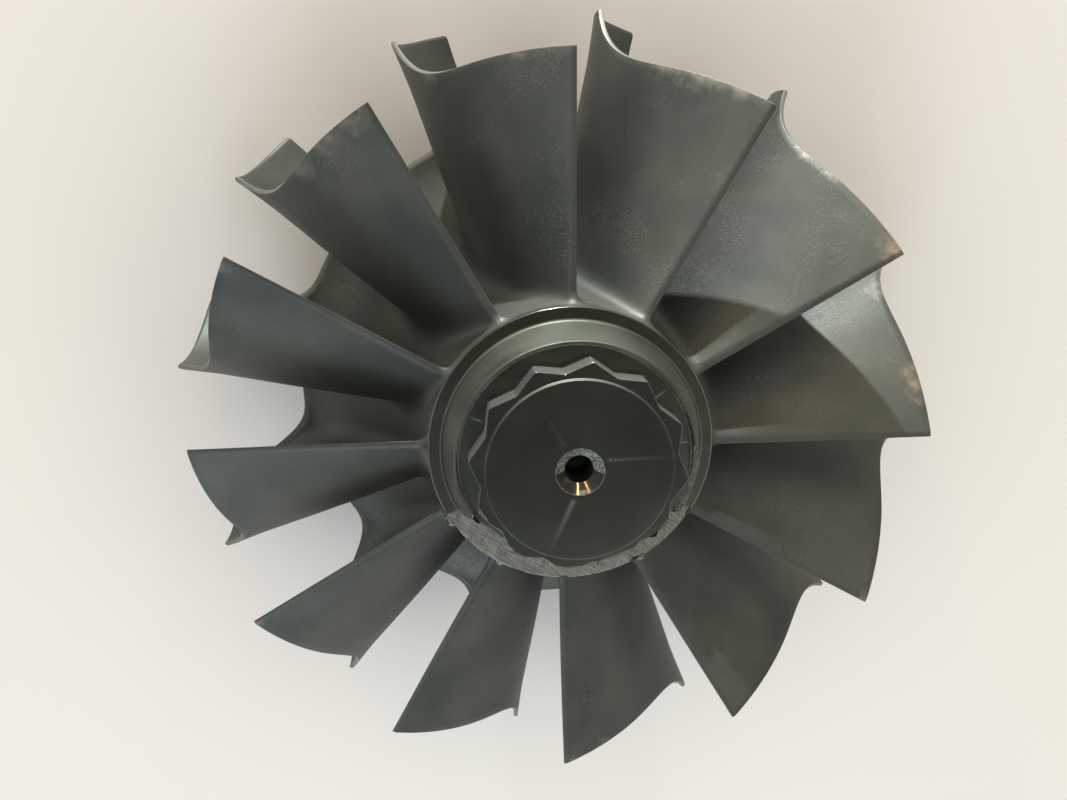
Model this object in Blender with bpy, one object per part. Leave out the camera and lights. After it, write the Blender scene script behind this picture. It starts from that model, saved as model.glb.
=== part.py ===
"""Turbocharger turbine wheel: a radial inflow wheel with twelve blades.

The wheel stands on the flat face of its rear boss, with its nose up. The axis is +Z
and the origin is the centre of that face. The real wheel is one investment casting in
nickel alloy. Here it is parted along its natural borders: the hub with its scalloped
back disc, the boss behind it, the collar and the twelve-point head on the nose, and
each blade.
"""
import math

import bmesh
import bpy

MM = 0.001

# Whole wheel
BLADE_COUNT = 12
BLADE_PITCH = 360.0 / BLADE_COUNT
FIRST_BLADE_ANGLE = 90.0
SEAM = 0.3 * MM

# Nose: the collar's shoulder is the plane that the other heights start from
SHOULDER_Z = 56.0 * MM
COLLAR_FOOT_Z = SHOULDER_Z - 2.0 * MM
SHOULDER_RADIUS = 20.9 * MM
SHOULDER_CHAMFER = 0.25 * MM
COLLAR_BASE_RADIUS = 19.4 * MM
COLLAR_TOP_RADIUS = 17.5 * MM
COLLAR_HEIGHT = 6.4 * MM
COLLAR_LAND = 0.35 * MM
COLLAR_FILLET_HEIGHT = 1.1 * MM
COLLAR_FILLET_REACH = 0.45 * MM
COLLAR_SEGMENTS = 72
DISH_FLOOR_Z = SHOULDER_Z + 5.0 * MM
DISH_FLOOR_RADIUS = 16.0 * MM

# Twelve-point head: two hexagons, the second turned by 30 degrees, with a raised round face
HEAD_ACROSS_FLATS = 26.8 * MM
HEAD_CORNER_RADIUS = HEAD_ACROSS_FLATS / math.sqrt(3.0)
HEAD_CORNERS = 12
HEAD_CORNER_STEP = 360.0 / HEAD_CORNERS / 2.0
HEAD_VALLEY_RADIUS = HEAD_ACROSS_FLATS / 2.0 / math.cos(math.radians(HEAD_CORNER_STEP))
HEAD_FIRST_CORNER = 24.0
HEAD_TOP_Z = SHOULDER_Z + 9.9 * MM
HEAD_FACE_Z = SHOULDER_Z + 10.4 * MM
HEAD_FACE_RADIUS = 13.0 * MM
HEAD_FACE_FOOT_RADIUS = 13.4 * MM
CENTRE_MOUTH_RADIUS = 3.4 * MM
CENTRE_PILOT_RADIUS = 2.0 * MM
CENTRE_CONE_ANGLE = 90.0
CENTRE_HOLE_END_Z = DISH_FLOOR_Z + 0.8 * MM
HEAD_SHARP_ANGLE = 20.0

# Balance flats ground side by side on the collar: (direction in degrees, slope in degrees,
# distance from the axis at the shoulder's height); they also trim the head's corners there
BALANCE_FLATS = (
    (-148.0, 57.0, 20.85 * MM),
    (-136.0, 57.0, 20.9 * MM),
    (-124.0, 57.5, 20.95 * MM),
    (-112.0, 57.0, 20.85 * MM),
    (-100.0, 57.0, 20.9 * MM),
    (-88.0, 56.0, 20.9 * MM),
    (-69.0, 54.0, 20.9 * MM),
    (-50.0, 56.0, 20.85 * MM),
    (-38.0, 57.0, 20.9 * MM),
)
CUTTER_SIZE = 40.0 * MM

# Hub and back disc
DISC_FRONT_Z = 11.4 * MM
DISC_BACK_Z = 9.0 * MM
SCALLOP_RADIUS = 46.3 * MM
SCALLOP_DEPTH = 6.3 * MM
SCALLOP_HALF_ANGLE = 12.5
SCALLOP_POWER = 4.2
ARM_HALF_ANGLE = 13.9
BACK_CENTRE_Z = 7.0 * MM
BOSS_RADIUS = 17.5 * MM
BOSS_CHAMFER = 0.8 * MM
BOSS_SEGMENTS = 64

# Hub's flow surface: radius and height of the four points that shape its curve
HUB_CURVE_CONTROL = (
    (SHOULDER_RADIUS + 0.1 * MM, COLLAR_FOOT_Z),
    (22.2 * MM, 33.0 * MM),
    (29.0 * MM, 13.5 * MM),
    (SCALLOP_RADIUS - 1.0 * MM, DISC_FRONT_Z),
)

# Blade: the camber line as an angle that depends on height only
TRAILING_Z = SHOULDER_Z - 2.36 * MM
FOLD_Z = SHOULDER_Z - 28.3 * MM
LEADING_TOP_Z = SHOULDER_Z - 27.0 * MM
LEADING_FOOT_Z = SHOULDER_Z - 44.3 * MM
FOLD_ANGLE = 23.9
FOLD_POWER = 2.0
FOOT_RETURN_ANGLE = 7.3
FOOT_RETURN_POWER = 2.5

# Blade: the shroud line and the foot of the leading edge
EXDUCER_RADIUS = 56.0 * MM
INDUCER_RADIUS = 63.8 * MM
FOOT_RADIUS = 63.5 * MM
SHROUD_STRAIGHT_END_Z = SHOULDER_Z - 12.0 * MM
SHROUD_POWER = 2.6

# Blade thickness, as half of it
TIP_HALF_THICKNESS = 0.38 * MM
ROOT_HALF_THICKNESS = 1.9 * MM
TRAILING_ROOT_SHARE = 0.28
FOOT_HALF_THICKNESS = 0.75 * MM
LEADING_SWELL_POWER = 1.5
TRAILING_SWELL_POWER = 1.2
SPAN_TAPER_POWER = 1.15

# Finishes: colour, roughness and metallic share
CAST_FINISH = ((0.105, 0.105, 0.098), 0.55, 0.85)
TURNED_FINISH = ((0.16, 0.16, 0.15), 0.4, 0.9)

# Mesh fineness
HUB_CURVE_POINTS = 12
BLADE_ROWS = 6
BLADE_SHARP_ANGLE = 50.0
DISC_ANGLES = (-ARM_HALF_ANGLE, -11.6, -7.4, 0.0, 7.4, 11.6, ARM_HALF_ANGLE)


def clear_scene():
    for obj in list(bpy.data.objects):
        bpy.data.objects.remove(obj, do_unlink=True)


def make_material(name, colour, roughness, metallic):
    material = bpy.data.materials.new(name)
    material.use_nodes = True
    shader = material.node_tree.nodes["Principled BSDF"]
    shader.inputs["Base Color"].default_value = (*colour, 1.0)
    shader.inputs["Roughness"].default_value = roughness
    shader.inputs["Metallic"].default_value = metallic
    return material


def add_object(name, mesh, material, sharp_angle=35.0):
    mesh.materials.append(material)
    mesh.shade_smooth()
    mesh.set_sharp_from_angle(angle=math.radians(sharp_angle))
    obj = bpy.data.objects.new(name, mesh)
    bpy.context.collection.objects.link(obj)
    return obj


def mesh_from_bmesh(name, bm):
    bmesh.ops.recalc_face_normals(bm, faces=bm.faces)
    bmesh.ops.triangulate(bm, faces=bm.faces)
    mesh = bpy.data.meshes.new(name)
    bm.to_mesh(mesh)
    bm.free()
    return mesh


def polar(radius, degrees, z):
    angle = math.radians(degrees)
    return (radius * math.cos(angle), radius * math.sin(angle), z)


def bezier(points, share):
    keep = 1.0 - share
    weights = (keep**3, 3 * keep**2 * share, 3 * keep * share**2, share**3)
    return tuple(sum(w * p[axis] for w, p in zip(weights, points)) for axis in (0, 1))


def hub_curve():
    """Radius and height of the hub's flow surface, from the collar down to the scallops."""
    return [bezier(HUB_CURVE_CONTROL, i / (HUB_CURVE_POINTS - 1)) for i in range(HUB_CURVE_POINTS)]


def scallop_radius(offset):
    """Radius of the disc's edge at an angle from the middle of the gap between blades."""
    return SCALLOP_RADIUS + SCALLOP_DEPTH * (abs(offset) / SCALLOP_HALF_ANGLE) ** SCALLOP_POWER


def camber_angle(z):
    """Angle of the blade's middle surface from its trailing edge, in degrees."""
    if z >= FOLD_Z:
        share = (TRAILING_Z - z) / (TRAILING_Z - FOLD_Z)
        return FOLD_ANGLE * (1.0 - (1.0 - share) ** FOLD_POWER)
    share = (FOLD_Z - z) / (FOLD_Z - LEADING_FOOT_Z)
    return FOLD_ANGLE - FOOT_RETURN_ANGLE * share**FOOT_RETURN_POWER


def shroud_point(share):
    """Radius and height on the blade's outer line: share 0 is the leading edge, 1 the trailing edge."""
    z = LEADING_TOP_Z + (TRAILING_Z - LEADING_TOP_Z) * share
    reach = max(0.0, (SHROUD_STRAIGHT_END_Z - z) / (SHROUD_STRAIGHT_END_Z - LEADING_TOP_Z))
    radius = EXDUCER_RADIUS + (INDUCER_RADIUS - EXDUCER_RADIUS) * reach**SHROUD_POWER
    return radius, z


def root_line():
    """Radius and height on the blade's inner line, from the leading edge's foot inward and up."""
    arm_end = scallop_radius(ARM_HALF_ANGLE)
    line = [(FOOT_RADIUS, LEADING_FOOT_Z), ((FOOT_RADIUS + arm_end) / 2.0, LEADING_FOOT_Z)]
    line.append((arm_end, LEADING_FOOT_Z))
    hub = hub_curve()[::-1]
    for index, (radius, z) in enumerate(hub[:-1]):
        before = hub[max(index - 1, 0)]
        after = hub[index + 1]
        along = (after[0] - before[0], after[1] - before[1])
        length = math.hypot(*along)
        line.append((radius + along[1] / length * SEAM, z - along[0] / length * SEAM))
    line.append((hub[-1][0] + SEAM, TRAILING_Z))
    return line


def half_thickness(chord, row):
    """Half the blade's thickness: chord 0 is the leading edge, 1 the trailing edge, row 0 the root."""
    if chord < 0.5:
        edge = FOOT_HALF_THICKNESS
        swell = math.sin(chord * math.pi) ** LEADING_SWELL_POWER
    else:
        edge = ROOT_HALF_THICKNESS * TRAILING_ROOT_SHARE
        swell = math.sin(chord * math.pi) ** TRAILING_SWELL_POWER
    root = edge + (ROOT_HALF_THICKNESS - edge) * swell
    return TIP_HALF_THICKNESS + (root - TIP_HALF_THICKNESS) * (1.0 - row) ** SPAN_TAPER_POWER


def build_hub(material):
    """Hub cone and scalloped back disc: rings from the collar's foot down, over the edge and back in."""
    bm = bmesh.new()
    curve = hub_curve()
    angles = []
    for blade in range(BLADE_COUNT):
        middle = FIRST_BLADE_ANGLE + camber_angle(LEADING_FOOT_Z) + BLADE_PITCH * (blade + 0.5)
        angles.extend((middle + offset, scallop_radius(offset)) for offset in DISC_ANGLES)
    rings = [[bm.verts.new(polar(radius, a, z)) for a, _ in angles] for radius, z in curve]
    for z in (DISC_FRONT_Z, DISC_BACK_Z):
        rings.append([bm.verts.new(polar(edge, a, z)) for a, edge in angles])
    rings.append([bm.verts.new(polar(BOSS_RADIUS, a, BACK_CENTRE_Z)) for a, _ in angles])
    for upper, lower in zip(rings, rings[1:]):
        for i in range(len(angles)):
            j = (i + 1) % len(angles)
            bm.faces.new((upper[i], upper[j], lower[j], lower[i]))
    bm.faces.new(rings[0])
    bm.faces.new(rings[-1])
    return add_object("hub_and_back_disc", mesh_from_bmesh("hub_and_back_disc", bm), material)


def turned_solid(name, profile, segments):
    """Closed solid of revolution; the profile starts and ends on the axis, top first."""
    bm = bmesh.new()
    top = bm.verts.new((0.0, 0.0, profile[0][1]))
    bottom = bm.verts.new((0.0, 0.0, profile[-1][1]))
    steps = [360.0 * i / segments for i in range(segments)]
    rings = [[bm.verts.new(polar(radius, a, z)) for a in steps] for radius, z in profile[1:-1]]
    for i in range(segments):
        j = (i + 1) % segments
        bm.faces.new((top, rings[0][i], rings[0][j]))
        bm.faces.new((bottom, rings[-1][j], rings[-1][i]))
        for upper, lower in zip(rings, rings[1:]):
            bm.faces.new((upper[i], lower[i], lower[j], upper[j]))
    return mesh_from_bmesh(name, bm)


def build_boss(material):
    profile = (
        (0.0, BACK_CENTRE_Z),
        (BOSS_RADIUS, BACK_CENTRE_Z),
        (BOSS_RADIUS, BOSS_CHAMFER),
        (BOSS_RADIUS - BOSS_CHAMFER, 0.0),
        (0.0, 0.0),
    )
    return add_object("weld_boss", turned_solid("weld_boss", profile, BOSS_SEGMENTS), material)


def flat_cutters():
    """One block for each balance flat, lying outside the flat's plane."""
    cutters = []
    for index, (direction, slope, distance) in enumerate(BALANCE_FLATS):
        bpy.ops.mesh.primitive_cube_add(size=CUTTER_SIZE)
        block = bpy.context.object
        block.name = f"balance_cutter_{index + 1}"
        tilt = math.radians(90.0 - slope)
        turn = math.radians(direction)
        outward = (math.cos(tilt) * math.cos(turn), math.cos(tilt) * math.sin(turn), math.sin(tilt))
        on_plane = (distance * math.cos(turn), distance * math.sin(turn), SHOULDER_Z)
        block.location = [p + o * CUTTER_SIZE / 2.0 for p, o in zip(on_plane, outward)]
        block.rotation_euler = (0.0, -tilt, turn)
        block.hide_render = True
        block.display_type = "WIRE"
        cutters.append(block)
    return cutters


def cut_with(obj, cutters):
    for block in cutters:
        boolean = obj.modifiers.new(block.name, "BOOLEAN")
        boolean.operation = "DIFFERENCE"
        boolean.object = block


def build_collar(material, cutters):
    top_z = SHOULDER_Z + COLLAR_HEIGHT
    profile = (
        (0.0, DISH_FLOOR_Z),
        (DISH_FLOOR_RADIUS, DISH_FLOOR_Z),
        (COLLAR_TOP_RADIUS - COLLAR_LAND, top_z),
        (COLLAR_TOP_RADIUS, top_z),
        (COLLAR_BASE_RADIUS - COLLAR_FILLET_REACH, SHOULDER_Z + COLLAR_FILLET_HEIGHT),
        (COLLAR_BASE_RADIUS, SHOULDER_Z),
        (SHOULDER_RADIUS - SHOULDER_CHAMFER, SHOULDER_Z),
        (SHOULDER_RADIUS, SHOULDER_Z - SHOULDER_CHAMFER),
        (SHOULDER_RADIUS, COLLAR_FOOT_Z),
        (0.0, COLLAR_FOOT_Z),
    )
    mesh = turned_solid("nose_collar", profile, COLLAR_SEGMENTS)
    collar = add_object("nose_collar", mesh, material)
    cut_with(collar, cutters)
    return collar


def build_head(material, cutters):
    """Twelve-point drive head with a raised round face and a centre-drilled hole."""
    bm = bmesh.new()
    corners = []
    for i in range(2 * HEAD_CORNERS):
        radius = HEAD_CORNER_RADIUS if i % 2 == 0 else HEAD_VALLEY_RADIUS
        corners.append((radius, HEAD_FIRST_CORNER + HEAD_CORNER_STEP * i))
    foot = [bm.verts.new(polar(r, a, DISH_FLOOR_Z)) for r, a in corners]
    side = [bm.verts.new(polar(r, a, HEAD_TOP_Z)) for r, a in corners]
    step = [bm.verts.new(polar(HEAD_FACE_FOOT_RADIUS, a, HEAD_TOP_Z)) for _, a in corners]
    rim = [bm.verts.new(polar(HEAD_FACE_RADIUS, a, HEAD_FACE_Z)) for _, a in corners]
    mouth = [bm.verts.new(polar(CENTRE_MOUTH_RADIUS, a, HEAD_FACE_Z)) for _, a in corners]
    cone_depth = (CENTRE_MOUTH_RADIUS - CENTRE_PILOT_RADIUS) / math.tan(math.radians(CENTRE_CONE_ANGLE / 2.0))
    throat = [bm.verts.new(polar(CENTRE_PILOT_RADIUS, a, HEAD_FACE_Z - cone_depth)) for _, a in corners]
    pilot = [bm.verts.new(polar(CENTRE_PILOT_RADIUS, a, CENTRE_HOLE_END_Z)) for _, a in corners]
    levels = (foot, side, step, rim, mouth, throat, pilot)
    for outer, inner in zip(levels, levels[1:]):
        for i in range(len(corners)):
            j = (i + 1) % len(corners)
            bm.faces.new((outer[i], outer[j], inner[j], inner[i]))
    bm.faces.new(foot)
    bm.faces.new(pilot)
    mesh = mesh_from_bmesh("drive_head_12_point", bm)
    head = add_object("drive_head_12_point", mesh, material, HEAD_SHARP_ANGLE)
    cut_with(head, cutters)
    return head


def blade_mesh(name, turn):
    """One blade as two skins on a grid of chord stations and rows, closed round its edge."""
    bm = bmesh.new()
    roots = root_line()
    lengths = [0.0]
    for a, b in zip(roots, roots[1:]):
        lengths.append(lengths[-1] + math.hypot(b[0] - a[0], b[1] - a[1]))
    skins = []
    for side in (-1.0, 1.0):
        grid = []
        for (root_r, root_z), length in zip(roots, lengths):
            chord = length / lengths[-1]
            tip_r, tip_z = shroud_point(chord)
            line = []
            for row_index in range(BLADE_ROWS):
                row = row_index / (BLADE_ROWS - 1)
                radius = root_r + (tip_r - root_r) * row
                z = root_z + (tip_z - root_z) * row
                spread = math.degrees(half_thickness(chord, row) / radius)
                angle = turn + camber_angle(z) + side * spread
                line.append(bm.verts.new(polar(radius, angle, z)))
            grid.append(line)
        skins.append(grid)
    stations = len(roots)
    for grid in skins:
        for i in range(stations - 1):
            for j in range(BLADE_ROWS - 1):
                bm.faces.new((grid[i][j], grid[i + 1][j], grid[i + 1][j + 1], grid[i][j + 1]))
    first, second = skins
    for i in range(stations - 1):
        for j in (0, BLADE_ROWS - 1):
            bm.faces.new((first[i][j], first[i + 1][j], second[i + 1][j], second[i][j]))
    for j in range(BLADE_ROWS - 1):
        for i in (0, stations - 1):
            bm.faces.new((first[i][j], first[i][j + 1], second[i][j + 1], second[i][j]))
    return mesh_from_bmesh(name, bm)


def build_blades(material):
    for index in range(BLADE_COUNT):
        name = f"blade_{index + 1:02d}"
        turn = FIRST_BLADE_ANGLE - BLADE_PITCH * index
        add_object(name, blade_mesh(name, turn), material.copy(), BLADE_SHARP_ANGLE)


def build_wheel():
    clear_scene()
    cast = make_material("cast_nickel_alloy", *CAST_FINISH)
    turned = make_material("turned_nickel_alloy", *TURNED_FINISH)
    cutters = flat_cutters()
    build_hub(cast)
    build_boss(turned.copy())
    build_collar(turned.copy(), cutters)
    build_head(turned, cutters)
    build_blades(cast)


build_wheel()
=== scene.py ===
"""Dressed model of a turbocharger turbine wheel: cast hub and blades, turned nose, boss."""

import math

import bmesh
import bpy
import numpy as np
from mathutils import Euler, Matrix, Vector


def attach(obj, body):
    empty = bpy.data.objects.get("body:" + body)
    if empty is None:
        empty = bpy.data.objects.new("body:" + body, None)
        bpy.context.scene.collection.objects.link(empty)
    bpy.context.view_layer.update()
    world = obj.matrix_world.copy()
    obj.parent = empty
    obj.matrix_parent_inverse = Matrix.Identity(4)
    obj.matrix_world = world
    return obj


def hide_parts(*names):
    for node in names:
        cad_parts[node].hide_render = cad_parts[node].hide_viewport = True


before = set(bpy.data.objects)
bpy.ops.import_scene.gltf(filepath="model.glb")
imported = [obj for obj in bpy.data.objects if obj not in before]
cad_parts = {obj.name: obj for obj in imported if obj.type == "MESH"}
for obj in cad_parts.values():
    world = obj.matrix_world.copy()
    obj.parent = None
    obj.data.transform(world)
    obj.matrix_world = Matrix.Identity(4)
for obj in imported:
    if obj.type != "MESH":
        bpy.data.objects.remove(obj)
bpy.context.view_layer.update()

# Hub and back disc
# The middle of the wheel: a cone that turns the gas outward, and a disc behind it with a
# scallop between each two blades. Investment-cast in a nickel alloy, left as cast.

MM = 0.001
BLADE_COUNT = 12
PITCH = math.radians(360.0 / BLADE_COUNT)
COLLAR_FOOT_Z = 54.0
HUB_TOP_RADIUS = 21.0
FLOW_END_RADIUS = 45.3
DISC_FRONT_Z = 11.4
DISC_BACK_Z = 9.0
BACK_CENTRE_Z = 7.0
BACK_OUTER_RADIUS = 44.3
BACK_INNER_RADIUS = 17.0
SCALLOP_RADIUS = 46.3
SCALLOP_DEPTH = 6.3
SCALLOP_HALF_ANGLE = math.radians(12.5)
SCALLOP_POWER = 4.2
SCALLOP_EDGE_ROUND = 0.46
ARM_HALF_ANGLE = math.radians(13.9)
ARM_TAPER = (49.0, 56.1)
ARM_TIP_THICKNESS = 0.25

# Radius and height of the four points that draw the cone's curve, from the collar to the disc
HUB_CONTROL = np.array((
    (HUB_TOP_RADIUS, COLLAR_FOOT_Z),
    (22.2, 33.0),
    (29.0, 13.5),
    (FLOW_END_RADIUS, DISC_FRONT_Z),
))

# How finely the casting is drawn: down the cone, over the disc and its edge, and along a gap
HUB_RINGS = 44
FRONT_SHARES = (0.2, 0.45, 0.75)
EDGE_TURNS = (0, 22, 45, 67, 90)
REAR_SHARES = (0.3, 0.65, 1.0)
BACK_SHARES = (0.33, 0.67, 1.0)
GAP_STEPS = 60
GAP_SAMPLES = 1201

# How far the blades turn on the way down to their fold, and back again at their foot. The
# scallops lie halfway between the feet.
FOLD_ANGLE = math.radians(23.9)
FOOT_RETURN = math.radians(7.3)
FOOT_ANGLE = FOLD_ANGLE - FOOT_RETURN


def hub_point(share):
    """Radius and height on the hub's flow surface: share 0 at the collar, 1 at the disc."""
    share = np.asarray(share, float)[..., None]
    keep = 1.0 - share
    a, b, c, d = HUB_CONTROL
    return keep**3 * a + 3 * keep**2 * share * b + 3 * keep * share**2 * c + share**3 * d


def scallop_radius(offset):
    """Radius of the disc's edge at an angle from the middle of the gap between two blades."""
    reach = np.minimum(np.abs(offset), ARM_HALF_ANGLE) / SCALLOP_HALF_ANGLE
    return SCALLOP_RADIUS + SCALLOP_DEPTH * reach**SCALLOP_POWER


def smooth_step(value, low, high):
    share = np.clip((value - low) / (high - low), 0.0, 1.0)
    return share * share * (3.0 - 2.0 * share)


def new_mesh(name, points, faces):
    """A mesh in metres from points in millimetres."""
    mesh = bpy.data.meshes.new(name)
    mesh.from_pydata((np.asarray(points) * MM).tolist(), [], [list(map(int, f)) for f in faces])
    mesh.validate()
    mesh.update()
    return mesh


def ring_faces(rings, count):
    """Quads between stacked rings of the same number of points, laid out one after another."""
    faces = []
    for ring in range(rings - 1):
        start = ring * count
        for i in range(count):
            j = (i + 1) % count
            faces.append((start + i, start + count + i, start + count + j, start + j))
    return faces


def put_in_scene(name, mesh, materials, sharp_angle):
    """An object from a mesh, shaded smooth, with hard edges where its faces meet sharply."""
    for material in materials:
        mesh.materials.append(material)
    mesh.shade_smooth()
    mesh.set_sharp_from_angle(angle=math.radians(sharp_angle))
    piece = bpy.data.objects.new(name, mesh)
    bpy.context.scene.collection.objects.link(piece)
    return piece


def hub_rings():
    """Rings of points from the collar's foot down the cone, over the scalloped edge and back in."""
    dense = np.linspace(-PITCH / 2, PITCH / 2, GAP_SAMPLES)
    radius = scallop_radius(dense)
    steps = np.hypot(np.diff(radius), radius[1:] * np.diff(dense))
    walk = np.concatenate(([0.0], np.cumsum(steps)))
    offset = np.interp(np.linspace(0.0, walk[-1], GAP_STEPS, endpoint=False), walk, dense)
    first_gap = math.pi / 2 + FOOT_ANGLE + PITCH / 2
    angle = np.concatenate([first_gap + k * PITCH + offset for k in range(BLADE_COUNT)])
    edge = np.tile(scallop_radius(offset), BLADE_COUNT)
    rim = np.stack((edge * np.cos(angle), edge * np.sin(angle)), 1)
    along = np.roll(rim, -1, 0) - np.roll(rim, 1, 0)
    inward = np.stack((-along[:, 1], along[:, 0]), 1) / np.linalg.norm(along, axis=1)[:, None]
    round_way = np.stack((np.cos(angle), np.sin(angle)), 1)
    thinning = DISC_FRONT_Z - DISC_BACK_Z - ARM_TIP_THICKNESS
    back = DISC_BACK_Z + thinning * smooth_step(edge, *ARM_TAPER)
    edge_round = SCALLOP_EDGE_ROUND * (DISC_FRONT_Z - back)
    inner_edge = rim + inward * edge_round[:, None]
    rings = []

    def ring(flat, height):
        rings.append(np.column_stack((flat, np.broadcast_to(height, len(angle)))))

    for share in np.linspace(0.0, 1.0, HUB_RINGS):
        r, z = hub_point(share)
        ring(r * round_way, z)
    flow_end = FLOW_END_RADIUS * round_way
    for share in FRONT_SHARES:
        ring(flow_end + (inner_edge - flow_end) * share, DISC_FRONT_Z)
    for turn in np.radians(EDGE_TURNS):
        inset = edge_round * (1.0 - math.sin(turn))
        ring(rim + inward * inset[:, None], DISC_FRONT_Z - edge_round * (1.0 - math.cos(turn)))
    for turn in np.radians(EDGE_TURNS[::-1]):
        inset = edge_round * (1.0 - math.sin(turn))
        ring(rim + inward * inset[:, None], back + edge_round * (1.0 - math.cos(turn)))
    back_outer = BACK_OUTER_RADIUS * round_way
    for share in REAR_SHARES:
        ring(inner_edge + (back_outer - inner_edge) * share, back + (DISC_BACK_Z - back) * share)
    for share in BACK_SHARES:
        r = BACK_OUTER_RADIUS + (BACK_INNER_RADIUS - BACK_OUTER_RADIUS) * share
        ring(r * round_way, DISC_BACK_Z + (BACK_CENTRE_Z - DISC_BACK_Z) * share)
    return rings, len(angle)


def srgb(code):
    """A screen colour such as 8a8c88 as the linear colour that nodes take."""
    values = [int(code[i:i + 2], 16) / 255.0 for i in (0, 2, 4)]
    return tuple(v / 12.92 if v <= 0.04045 else ((v + 0.055) / 1.055) ** 2.4 for v in values) + (1.0,)


def add(tree, kind, inputs=None, **settings):
    """Adds a node and returns its outputs. Inputs, by name or place, are values or sockets to link."""
    node = tree.nodes.new(kind)
    for name, value in settings.items():
        setattr(node, name, value)
    for key, value in (inputs or {}).items():
        if isinstance(value, bpy.types.NodeSocket):
            tree.links.new(value, node.inputs[key])
        else:
            node.inputs[key].default_value = value
    return node.outputs


def new_material(name):
    material = bpy.data.materials.new(name)
    material.use_nodes = True
    tree = material.node_tree
    tree.nodes.clear()
    return material, tree


def blended(tree, value, low, high, dark, light):
    """A colour that goes from dark to light while a value goes from low to high."""
    share = add(tree, "ShaderNodeMapRange", {"Value": value, 1: low, 2: high})[0]
    return add(tree, "ShaderNodeMix", {
        "Factor": share, "A": dark, "B": light}, data_type="RGBA")["Result"]


def finish_material(tree, colour, roughness, height, strength, depth, metallic=1.0):
    """Ends a material with its colour, its roughness and a relief some millimetres deep."""
    bump = add(tree, "ShaderNodeBump", {
        "Height": height, "Strength": strength, "Distance": depth * MM})[0]
    shader = add(tree, "ShaderNodeBsdfPrincipled", {
        "Base Color": colour, "Metallic": metallic, "Roughness": roughness, "Normal": bump})
    add(tree, "ShaderNodeOutputMaterial", {"Surface": shader[0]})


# Investment-cast nickel alloy under a thin oxide skin from hot running: dark grey and dull,
# part metal and part scale, with a fine sandy grain that sparkles where light grazes it. The
# grain is about 0.5 mm and the stains about 14 mm.
CAST_DARK = srgb("4e524b")
CAST_LIGHT = srgb("5e6057")
CAST_GRAIN = 0.5
CAST_RELIEF = 0.05
CAST_STAIN = 14.0
CAST_METAL = 0.6


def cast_alloy(name):
    material, tree = new_material(name)
    place = add(tree, "ShaderNodeTexCoord")["Object"]
    stain = add(tree, "ShaderNodeTexNoise", {
        "Vector": place, "Scale": 1.0 / (CAST_STAIN * MM), "Detail": 5.0})["Fac"]
    grain = add(tree, "ShaderNodeTexNoise", {
        "Vector": place, "Scale": 1.0 / (CAST_GRAIN * MM), "Detail": 3.0})["Fac"]
    colour = blended(tree, stain, 0.3, 0.7, CAST_DARK, CAST_LIGHT)
    rough = add(tree, "ShaderNodeMapRange", {"Value": grain, 1: 0.3, 2: 0.7, 3: 0.46, 4: 0.62})[0]
    finish_material(tree, colour, rough, grain, 0.35, CAST_RELIEF, CAST_METAL)
    return material


cast = cast_alloy("nickel_alloy_as_cast")
rings, ring_size = hub_rings()
hub_faces = ring_faces(len(rings), ring_size)
hub_faces.append(range(ring_size))
hub_faces.append(range((len(rings) - 1) * ring_size, len(rings) * ring_size)[::-1])
hub_mesh = new_mesh("hub_casting", np.concatenate(rings), hub_faces)
hub = put_in_scene("hub_casting", hub_mesh, [cast], 40.0)
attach(hub, "root")
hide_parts("hub_and_back_disc")

# Blades
# Twelve thin blades of one casting with the hub, with a fillet round each root. Each bends
# away from its trailing edge as it goes down, and its outer edge is ground to size.

TRAILING_Z = 53.64
FOLD_Z = 27.7
FOOT_Z = 11.7
FOLD_POWER = 2.0
FOOT_POWER = 2.5
LEADING_TOP_Z = 29.0
EXDUCER_RADIUS = 56.0
INDUCER_RADIUS = 63.8
SHROUD_STRAIGHT_END_Z = 44.0
SHROUD_POWER = 2.6
FOOT_RADIUS = 63.5
OVERHANG_RADIUS = 57.5
LANDING_RADIUS = 55.5
LANDING_LIFT = 0.05
ROOT_SAMPLES = 400

# Half the blade's thickness at its tip, root, foot and trailing edge, and how it swells between
TIP_HALF = 0.38
ROOT_HALF = 1.9
FOOT_HALF = 0.75
TRAILING_HALF = 0.7
FORE_SWELL = 1.5
AFT_SWELL = 1.2
SPAN_SWELL = 1.15

# The fillet at the root, which shrinks to fit on the disc's arms and ends where the foot is free
FILLET = 3.0
TRAILING_FILLET = 2.2
TRAILING_FILLET_FROM = 0.75
LEAST_FILLET = 0.25
ARM_MARGIN = 0.7
DISC_FROM_RADIUS = 45.0
FREE_OF_DISC = (54.5, 57.0)
SINK = 0.15
SINK_INWARD_FROM = 0.97

# Roundings of the blade's edges, and how finely it is drawn
REAR_EDGE_ROUND = 0.35
NOSE_SHARE = 0.011
NOSE_TURNS = (0, 20, 40, 60, 77)
TRAILING_CORNER_SHARE = 0.007
TRAILING_CORNER_ROUND = 0.75
TRAILING_CORNER_TURNS = (18, 36, 54, 72, 90)
TIP_CORNER = 0.06
SIDE_STATIONS = 54
SIDE_CROWDING = 0.6
SPAN_ROWS = 26
SPAN_CROWDING = 1.1
FILLET_ROWS = 9


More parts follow.
